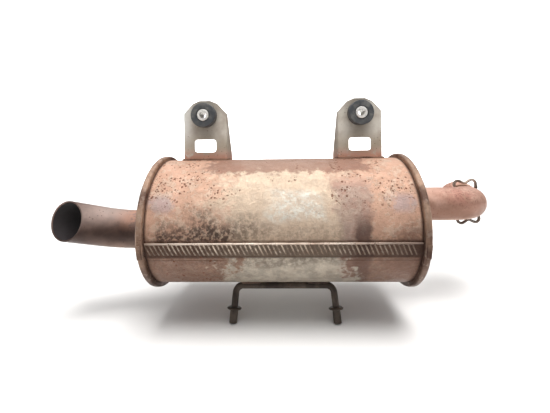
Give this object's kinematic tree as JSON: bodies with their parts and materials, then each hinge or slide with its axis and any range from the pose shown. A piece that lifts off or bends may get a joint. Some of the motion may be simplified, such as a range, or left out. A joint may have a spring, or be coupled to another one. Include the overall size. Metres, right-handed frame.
{
  "type": "exhaust muffler",
  "caption": "Lock-seamed round exhaust muffler with rolled end caps, an elbowed inlet with spring hooks, a slash-cut tailpipe, rubber-bushed brackets and a bent hanger rod with pins.",
  "frame": {"origin": "midway between the two M8 bolt axes of the rubber isolators, in the middle of the brackets' sheet", "axes": "+X along the barrel towards the inlet end, +Y backwards to where the inlet's mouth points, +Z from the barrel up to the brackets"},
  "size_m": [0.59, 0.1737, 0.2708],
  "materials": {
    "shell_steel": "heat-tinted, satin, lightly pitted",
    "cap_steel": "heat-darkened, satin",
    "inlet_steel": "heat-tinted salmon, rust-pitted",
    "tailpipe_steel": "sooty brown",
    "inner_steel": "mill",
    "mineral_fibre": "matt packed fibre",
    "bracket_steel": "warm grey, satin",
    "rubber": "matt, moulded",
    "sleeve_steel": "bright zinc",
    "dark_steel": "dark oxide"
  },
  "bodies": {
    "muffler": {"outer_shell": "shell_steel", "fibre_mat": "mineral_fibre", "inner_liner": "inner_steel", "inlet_end_cap": "cap_steel", "outlet_end_cap": "cap_steel", "inlet_pipe": "inlet_steel", "inlet_flare": "inlet_steel", "outlet_pipe": "tailpipe_steel", "inlet_core_tube": "inner_steel", "outlet_core_tube": "inner_steel", "transfer_tube_a": "inner_steel", "transfer_tube_b": "inner_steel", "inlet_baffle": "inner_steel", "outlet_baffle": "inner_steel", "bracket_left": "bracket_steel", "bracket_right": "bracket_steel", "rubber_bush_left": "rubber", "rubber_bush_right": "rubber", "hanger_rod": "dark_steel", "pin_bush_left": "dark_steel", "pin_bush_right": "dark_steel", "spring_hook_upper": "dark_steel", "spring_hook_lower": "dark_steel"},
    "sleeve_left": {"bush_sleeve_left": "sleeve_steel"},
    "sleeve_right": {"bush_sleeve_right": "sleeve_steel"}
  },
  "joints": [
    {"name": "sleeve_left_spin", "type": "hinge", "parent": "muffler", "child": "sleeve_left", "pos_m": [-0.0992, 0, 0], "axis": [0, -1, 0], "continuous": true},
    {"name": "sleeve_right_spin", "type": "hinge", "parent": "muffler", "child": "sleeve_right", "pos_m": [0.0992, 0, 0], "axis": [0, -1, 0], "continuous": true}
  ]
}
